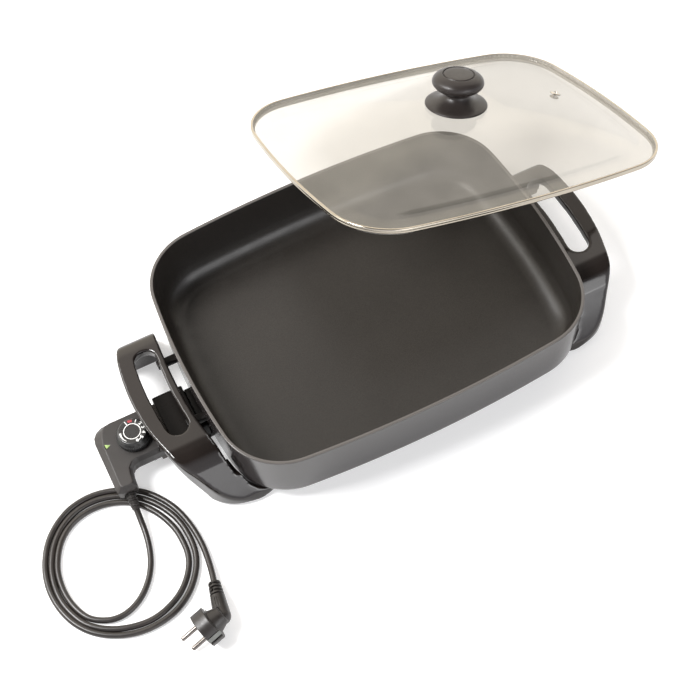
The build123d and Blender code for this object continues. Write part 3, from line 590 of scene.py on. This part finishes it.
extras = []
CY = -19.0
for sx in (-1, 1):
    for sy in (-1, 1):
        lug = block_mesh("lug", sx * 204.6, sx * 228, sy * 34.5, sy * 43.5, 43, 50, 1.4)
        extras.append(lug)
extras.append(block_mesh("boss", -214, -206, CY - 25, CY + 25, 6, 36, 1.5))
extras.append(block_mesh("boss", -211, -190, CY - 25, CY + 25, 6, 16.5, 2.0))
extras.append(block_mesh("well", -194, -140, CY - 6.5, CY + 6.5, 7, 13, 2.0))
rib = rings("rib", [rim_ring(60, 12.4, 1.03), rim_ring(60, 8.9, 1.03), rim_ring(60, 8.2, 1.02), rim_ring(60, 8.2, 0.94), rim_ring(60, 8.9, 0.93), rim_ring(60, 12.4, 0.93)])
extras.append(rib)
for e in extras:
    # painted shade: the lugs and bosses in the gap under the handles take the darkened shroud material
    e.data.materials.append(M_SHROUD_SHADE if e.name.startswith(("lug", "boss")) else M_OUT)
pan = join(pan, extras)
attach(pan, "base")
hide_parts("pan_body")

# ------------------------------------------------------------------ handles and inlet
for side in ("left", "right"):
    h = soft_copy(["handle_" + side], "handle_moulding_" + side, 1.1, 26)
    place(h, M_GLOSS, "base", "glossy_phenolic", "handle_" + side)
inlet = soft_copy(["inlet_housing"], "inlet_shroud", 0.9, 6)
# painted shade: the inlet shroud under the handle gets the darkened material
place(inlet, M_SHROUD_SHADE, "base", "glossy_phenolic", "inlet_housing")

# ------------------------------------------------------------------ lid
LX = Vector((0.97134587, -0.00566921, -0.23760275))
LN = Vector((0.22780262, 0.30728193, 0.92395011))
LY = LN.cross(LX)
LP = Vector((180.741, 135.222, 87.371))
LM = Matrix(((LX.x, LY.x, LN.x, LP.x), (LX.y, LY.y, LN.y, LP.y), (LX.z, LY.z, LN.z, LP.z), (0, 0, 0, 1)))
KNOB_H, GT, FOOT, FLAT_K = 35.6, 4.0, 17.5, 0.2
RISE = KNOB_H - GT / 2


def step(t):
    t = max(0.0, min(1.0, t))
    return t * t * t * (t * (6 * t - 15) + 10)


def dome(k):
    """Height of the pane's upper side where the foot's outline is scaled by k."""
    top = RISE * (1 - k * k) / (1 - FLAT_K ** 2)
    t = (1 - k) / 0.07                       # it leaves the flat edge gently
    top *= 1 - 0.62 * (1 - step(t)) if t < 1 else 1
    # and runs level under the knob
    lim = RISE
    if k < 0.45:
        w = 0.5 * (lim + top - sqrt((lim - top) ** 2 + 0.25))
        top = w + (0.0 if k > FLAT_K else 0.0)
    return GT / 2 + min(top, lim)


def lid_ring(d, h, k=1.0):
    return [tuple(LM @ Vector(p)) for p in rim_ring(d, h, k)]


KS = [1.0, 0.992, 0.984, 0.976, 0.966, 0.955, 0.943, 0.93, 0.912, 0.89, 0.86, 0.83, 0.79, 0.75, 0.70, 0.65, 0.60, 0.54, 0.48, 0.42, 0.36, 0.30, 0.25, 0.20, 0.14, 0.08, 0.03]
gl = []
for k in reversed(KS):
    gl.append(lid_ring(FOOT, dome(k) - GT, k))
for d in (16.0, 13.0, 10, 7, 5):
    gl.append(lid_ring(d, -GT / 2))
for dd, hh in ((2.2, -2.0), (1.75, -1.7), (1.6, -1.0), (1.6, 1.0), (1.75, 1.7), (2.2, 2.0)):
    gl.append(lid_ring(dd, hh))
for d in (5, 7, 10, 13.0, 16.0):
    gl.append(lid_ring(d, GT / 2))
for k in KS:
    gl.append(lid_ring(FOOT, dome(k), k))
glass = rings("lid_pane", gl, True, True)
place(glass, M_GLASS, "lid", "lid_glass", "lid_glass")

# rolled steel band: a closed section carried round the edge
sec = [
    (0.9, -2.9), (0.4, -2.75), (0.1, -2.3), (0.0, -1.5), (0.15, -0.7), (0.2, -0.3), (0.15, 0.1), (0.0, 0.9), (0.1, 2.2), (0.4, 2.7), (0.9, 2.9), (2.2, 2.9),
    (2.7, 2.8), (2.9, 2.6), (2.7, 2.42), (2.0, 2.42), (1.1, 2.4), (0.75, 2.1), (0.6, 1.6), (0.6, -1.6), (0.75, -2.1), (1.1, -2.4), (3.3, -2.42), (3.6, -2.55),
    (3.7, -2.7), (3.5, -2.86), (3.0, -2.9),
]
band = rings("lid_rim_band", [lid_ring(d, h) for d, h in sec], loop=True)
sharp_by_angle(band, 50)
place(band, M_STEEL, "lid", "lid_steel", "lid_band")

# knob
K0 = KNOB_H
kp = [
    (28.8, K0 + 0.0), (32.4, K0 + 0.45), (34.4, K0 + 1.35), (34.9, K0 + 2.2), (34.2, K0 + 3.3), (31.4, K0 + 4.5), (26.8, K0 + 5.8), (21.6, K0 + 7.7), (17.5, K0 + 10.2), (15.0, K0 + 13.1),
    (14.4, K0 + 15.6), (15.9, K0 + 17.9), (20.0, K0 + 20.0), (24.7, K0 + 22.5), (27.8, K0 + 25.6), (28.8, K0 + 28.7), (27.8, K0 + 32.2), (24.9, K0 + 35.2), (21.2, K0 + 37.1),
    (18.4, K0 + 38.0),
]
kp = smooth_curve(kp, 5)
kp += [(18.0, K0 + 38.0), (17.7, K0 + 37.7), (17.5, K0 + 37.1), (17.1, K0 + 36.7), (16.7, K0 + 37.1), (16.5, K0 + 37.7), (16.1, K0 + 38.1), (15.5, K0 + 38.25), (11, K0 + 38.4), (5, K0 + 38.5), (1.0, K0 + 38.5)]
kp = [(4.2, K0 + 0.4), (4.3, K0 + 0.05), (5.0, K0)] + kp
knob = lathe("lid_knob", kp, 112, LM)
place(knob, M_PHEN, "lid", "matte_phenolic", "knob_body", "knob_cap")

# vent eyelet
VX, VY = 139.9, 3.4
VK = VX / (HALF_L - FOOT)
vn = Vector((2 * RISE * VK / (1 - FLAT_K ** 2) / (HALF_L - FOOT), 0, 1.0)).normalized()
vx = Vector((1, 0, 0)) - vn * vn.x
vx.normalize()
vy = vn.cross(vx)
vz = GT / 2 + RISE * (1 - VK * VK) / (1 - FLAT_K ** 2)
VM = LM @ Matrix(((vx.x, vy.x, vn.x, VX), (vx.y, vy.y, vn.y, VY), (vx.z, vy.z, vn.z, vz), (0, 0, 0, 1)))
vp = [(2.2, -5.6), (2.2, 0.9), (2.6, 1.5), (3.3, 1.75), (4.4, 1.6), (5.8, 1.0), (6.5, 0.45), (6.6, 0.1), (5.8, 0.05), (3.4, 0.05), (3.3, -0.2), (3.3, -3.8), (3.4, -4.1), (5.4, -4.1), (5.6, -4.4), (5.4, -5.0), (3.4, -5.7), (2.8, -5.8)]
vr = []
for r, z in vp:
    vr.append([tuple(VM @ Vector((r * cos(2 * pi * s / 48), r * sin(2 * pi * s / 48), z))) for s in range(48)])
vent = rings("steam_vent", vr, loop=True)
place(vent, M_VENT, "lid", "lid_steel", "vent_eyelet")

# ------------------------------------------------------------------ control unit
top = soft_copy(["control_housing_top"], "control_cover", 0.55, 4)
place(top, M_CTRL, "control_unit", "control_plastic", "control_housing_top")
bot = soft_copy(["control_housing_bottom"], "control_base", 0.55, 4)
place(bot, M_CTRL, "control_unit", "control_plastic", "control_housing_bottom")

# dial: knurled skirt, cone and a printed face
DX, DY, D0, DT, DR = -281.0, -20.5, 35.6, 47.5, 18.2
DM = Matrix.Translation((DX, DY, 0))
dp = [
    (3.2, D0 + 0.6), (3.6, D0 + 0.1), (12.0, D0), (17.2, D0), (17.9, D0 + 0.3), (18.1, D0 + 0.9), (18.1, D0 + 2.0), (18.1, D0 + 3.4), (18.1, D0 + 4.6), (17.9, D0 + 5.3), (17.3, D0 + 5.9),
    (16.6, D0 + 7.6), (15.9, D0 + 9.4), (15.3, D0 + 10.8), (14.9, D0 + 11.4), (14.2, D0 + 11.8), (13.6, D0 + 11.9), (9.2, D0 + 11.9), (8.6, D0 + 11.7), (8.2, D0 + 11.4), (7.6, D0 + 11.4), (1.0, D0 + 11.4),
]


def knurl(a, i):
    return -0.45 * (0.5 + 0.5 * cos(60 * a)) ** 2 if 4 <= i <= 9 else 0.0


dial = lathe("control_dial", dp, 480, DM, wave=knurl)
sharp_by_angle(dial, 60)
place(dial, M_DIAL, "dial", "dial_plastic", "temperature_dial")


def flat_ring(name, r0, r1, a0, a1, z, n=48, taper=1.0):
    """A thin printed band on the dial face between two angles in degrees. With taper it narrows towards its end."""
    verts, faces = [], []
    full = abs(a1 - a0) >= 360
    for i in range(n + 1):
        t = i / n
        a = radians(a0 + (a1 - a0) * t)
        m, w = (r0 + r1) / 2, (r1 - r0) / 2 * (1 + (taper - 1) * t)
        for r, zz in ((m - w, z), (m + w, z), (m + w, z + 0.12), (m - w, z + 0.12)):
            verts.append((DX + r * cos(a), DY + r * sin(a), zz))
    for i in range(n):
        b, c = 4 * i, 4 * (i + 1)
        for k in range(4):
            faces.append((b + k, b + (k + 1) % 4, c + (k + 1) % 4, c + k))
    faces += [(0, 1, 2, 3), (4 * n, 4 * n + 3, 4 * n + 2, 4 * n + 1)]
    return mesh(name, verts, faces, smooth=False)


ZF = D0 + 11.82
marks = [flat_ring("ring", 8.35, 9.15, 0, 360, ZF, 96)]
# the photograph's directions on the dial face, measured in the object's own plan
A_OFF = 103.0
pa = radians(A_OFF)
line = []
for r, w in ((9.0, 0.45), (15.2, 0.45)):
    for s in (-1, 1):
        line.append((r, s * w))


def bar(name, r0, r1, w, ang, z):
    a = radians(ang)
    c, s = cos(a), sin(a)
    vs = []
    for zz in (z, z + 0.12):
        for r, t in ((r0, -w), (r1, -w), (r1, w), (r0, w)):
            vs.append((DX + r * c - t * s, DY + r * s + t * c, zz))
    return mesh(name, vs, [(0, 1, 2, 3), (7, 6, 5, 4), (0, 4, 5, 1), (1, 5, 6, 2), (2, 6, 7, 3), (3, 7, 4, 0)], smooth=False)


marks.append(bar("pointer", 8.9, 13.9, 0.42, A_OFF, ZF))
marks.append(flat_ring("arc", 11.4, 13.2, A_OFF + 62, A_OFF + 118, ZF, 24, 0.25))
marks.append(flat_ring("arc_2", 11.7, 12.7, A_OFF + 165, A_OFF + 205, ZF, 20, 0.6))
numerals = []
for i, txt in enumerate("123456"):
    ang = A_OFF - 52 - 27 * i
    cu = bpy.data.curves.new("n", "FONT")
    cu.body = txt
    cu.size = 5.0 * MM
    cu.offset = 0.16 * MM
    cu.align_x, cu.align_y = "CENTER", "CENTER"
    cu.extrude = 0.05 * MM
    cu.resolution_u = 3
    ob = bpy.data.objects.new("n", cu)
    scene.collection.objects.link(ob)
    a = radians(ang)
    ob.matrix_world = Matrix.Translation(Vector((DX + 11.9 * cos(a), DY + 11.9 * sin(a), ZF + 0.06)) * MM) @ Matrix.Rotation(a - pi / 2, 4, "Z")
    bpy.context.view_layer.update()
    me = bpy.data.meshes.new_from_object(ob)
    me.transform(ob.matrix_world)
    bpy.data.objects.remove(ob)
    numerals.append(link(me, "numeral", smooth=False))
for o in marks + numerals:
    o.data.materials.clear()
    o.data.materials.append(M_WHITE)
print_ob = join(marks[0], marks[1:] + numerals)
print_ob.name = "dial_print"
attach(print_ob, "dial")
off_mark = flat_ring("dial_off_zone", 10.6, 13.4, A_OFF - 34, A_OFF - 12, ZF, 12)
place(off_mark, M_RED, "dial", "dial_plastic")

# ------------------------------------------------------------------ strain relief, ribbed and tapered
E0 = Vector((-308.0, -66.0, 20.0))


def frame_on(o, n):
    n = n.normalized()
    x = Vector((0, 0, 1)).cross(n).normalized()
    y = n.cross(x)
    return Matrix(((x.x, y.x, n.x, o.x), (x.y, y.y, n.y, o.y), (x.z, y.z, n.z, o.z), (0, 0, 0, 1)))


RM = frame_on(E0, EXIT_DIR)
L0, L1 = -5.3, 22.0
rr = []
nst = 130
for i in range(nst + 1):
    t = i / nst
    z = L0 + (L1 - L0) * t
    base = 4.55 - 0.75 * t
    outer = 6.15 - 1.75 * t
    if z < 4:
        r_core, ribbed = outer, 0.0
    else:
        ph = (z - 4) / 3.0
        f = ph - int(ph)
        edge = step(f / 0.14) * (1 - step((f - 0.56) / 0.14))
        r_core, ribbed = base, edge
    ring = []
    for s in range(64):
        a = 2 * pi * s / 64
        if z < 4:
            r = outer
        else:
            ph = (z - 4) / 3.0
            bridge = step((abs(cos(a + (pi / 2 if int(ph) % 2 else 0))) - 0.86) / 0.08)
            r = r_core + (outer - r_core) * max(ribbed, bridge)
        if i == 0 or i == nst:
            r = min(r, 3.25 if i == nst else 5.0)
        ring.append(tuple(RM @ Vector((r * cos(a), r * sin(a), z))))
    rr.append(ring)
relief = rings("cord_strain_relief", rr, True, True)
sharp_by_angle(relief, 50)
place(relief, M_PLUG, "control_unit", "plug_rubber", "strain_relief")

# ------------------------------------------------------------------ plug
PN = Vector((-0.9550504, -0.1949899, -0.2232884))
PS = Vector((0.2838033, -0.3838085, -0.8787187))
PQ = PN.cross(PS)
PF = Vector((-301.5, -238.1, 17.9))
ELB = Vector((-277.8, -232.6, 17.2))
TT = Vector((-270.6, -194.0, 8.2))
arm_dir = (TT - ELB).normalized()
arm_len = (TT - ELB).length
AM = frame_on(ELB, arm_dir)
ribs = []
for i in range(4):
    z1 = arm_len - 0.6 - i * 4.2
    z0 = z1 - 2.4
    rings_ = []
    for zz, extra in ((z0, 0.35), (z0 + 0.3, 0.75), (z1 - 0.3, 0.75), (z1, 0.35)):
        base = 5.5 + (arm_len - zz) / arm_len * 2.4
        ring = []
        for q in range(96):
            a = 2 * pi * q / 96
            gap = abs(cos(a + (1.25 if i % 2 else 0.45))) < 0.13
            r = 4.2 if gap else base + extra
            ring.append(tuple(AM @ Vector((r * cos(a), r * sin(a), zz))))
        rings_.append(ring)
    rb = rings("rib", rings_, True, True)
    sharp_by_angle(rb, 40)
    ribs.append(rb)
up_ = AM.to_3x3().inverted() @ Vector((-0.20, -0.46, 0.86))
for i in range(3):                             # grip lines along the arm's upper side
    side = atan2(up_.y, up_.x) + radians(-15 + 15 * i)
    line_ = []
    for zz in (5.0, 5.6, 19.4, 20.0):
        rad = 8.8 - 2.4 * zz / arm_len + (0.35 if 5.2 < zz < 19.8 else -0.4)
        ring = []
        for q in range(10):
            a = 2 * pi * q / 10
            ring.append(tuple(AM @ Vector(((rad + 0.3 * cos(a)) * cos(side + 0.42 * sin(a) / rad), (rad + 0.3 * cos(a)) * sin(side + 0.42 * sin(a) / rad), zz))))
        line_.append(ring)
    ribs.append(rings("line", line_, True, True))
plug = soft_copy(["plug_body"], "mains_plug", 0.5, 6)
AI = AM.inverted()
for v in plug.data.vertices:                   # the core under the ribs is thin
    q = AI @ (v.co / MM)
    if q.z > arm_len - 16.9:
        r_ = hypot(q.x, q.y)
        lim = 4.3 + 2.2 * (1 - step((q.z - (arm_len - 16.9)) / 1.2))
        if r_ > lim:
            q.x, q.y = q.x * lim / r_, q.y * lim / r_
            v.co = (AM @ q) * MM
paint(plug, M_PLUG)
for rb in ribs:
    paint(rb, M_PLUG)
plug = join(plug, ribs)
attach(plug, "control_unit")
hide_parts("plug_body")

# ------------------------------------------------------------------ cord material and body
paint(cord, M_CORD)
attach(cord, "control_unit")
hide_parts("supply_cord_lead", "supply_cord_coil", "supply_cord_tail")

# ------------------------------------------------------------------ floor and light
floor_mat = bpy.data.materials.new("floor")
floor_mat.use_nodes = True
fp = floor_mat.node_tree.nodes["Principled BSDF"]
fp.inputs["Base Color"].default_value = (0.70, 0.70, 0.70, 1)
fp.inputs["Emission Color"].default_value = (1, 1, 1, 1)
fp.inputs["Emission Strength"].default_value = 0.41
fp.inputs["Roughness"].default_value = 0.75
fp.inputs["Specular IOR Level"].default_value = 0.2
fl = bpy.data.meshes.new("floor")
fl.from_pydata([(-6, -6, 0), (6, -6, 0), (6, 6, 0), (-6, 6, 0)], [], [(0, 1, 2, 3)])
fl.materials.append(floor_mat)
floor = link(fl, "floor", smooth=False)

world = bpy.data.worlds.new("world")
scene.world = world
world.use_nodes = True
wt = world.node_tree
bg = wt.nodes["Background"]
bg.inputs["Strength"].default_value = 1.0
wc = wt.nodes.new("ShaderNodeTexCoord")
ws = wt.nodes.new("ShaderNodeSeparateXYZ")
wt.links.new(wc.outputs["Generated"], ws.inputs["Vector"])


def wmath(op, a, b=0.0):
    m = wt.nodes.new("ShaderNodeMath")
    m.operation = op
    for i, v in enumerate((a, b)):
        if isinstance(v, (int, float)):
            m.inputs[i].default_value = v
        else:
            wt.links.new(v, m.inputs[i])
    return m.outputs[0]


def wband(v, lo, hi, a, b):
    m = wt.nodes.new("ShaderNodeMapRange")
    m.interpolation_type = "SMOOTHSTEP"
    m.inputs["From Min"].default_value = lo
    m.inputs["From Max"].default_value = hi
    m.inputs["To Min"].default_value = a
    m.inputs["To Max"].default_value = b
    wt.links.new(v, m.inputs["Value"])
    return m.outputs["Result"]


# along the line from front to back: a white sweep behind, a soft box above it, a dark ceiling, a lit table in front
el = wmath("ARCTAN2", ws.outputs["Z"], ws.outputs["Y"])     # 0 at the back, half a turn at the front
r = ramp(wt, wmath("DIVIDE", el, pi), [
    (0.0, (2.1, 1.95, 1.7)), (0.13, (2.1, 1.95, 1.7)), (0.24, (1.6, 1.5, 1.38)), (0.385, (1.6, 1.5, 1.38)), (0.44, (0.14, 0.135, 0.13)),
    (0.64, (0.08, 0.08, 0.08)), (0.72, (0.55, 0.55, 0.58)), (0.86, (1.25, 1.25, 1.32)), (1.0, (1.25, 1.25, 1.32)),
])
wt.links.new(r, bg.inputs["Color"])


def area(name, direction, dist, size, power, size_y=None, target=(0.0, 0.0, 0.05)):
    d = bpy.data.lights.new(name, "AREA")
    d.shape = "RECTANGLE" if size_y else "SQUARE"
    d.size = size
    if size_y:
        d.size_y = size_y
    d.energy = power
    o = bpy.data.objects.new(name, d)
    scene.collection.objects.link(o)
    v = Vector(direction).normalized()
    o.location = Vector(target) + v * dist
    o.rotation_mode = "QUATERNION"
    o.rotation_quaternion = (-v).to_track_quat("-Z", "Y")
    return o


area("key", (-0.57, 0.15, 0.81), 2.4, 0.75, 70)
area("back_left", (-0.62, 0.46, 0.62), 2.3, 0.8, 14)
area("fill_front", (0.30, -0.80, 0.55), 2.2, 0.9, 10)
area("front_low", (0.2, -0.94, 0.33), 2.2, 1.6, 6.5, size_y=0.5)
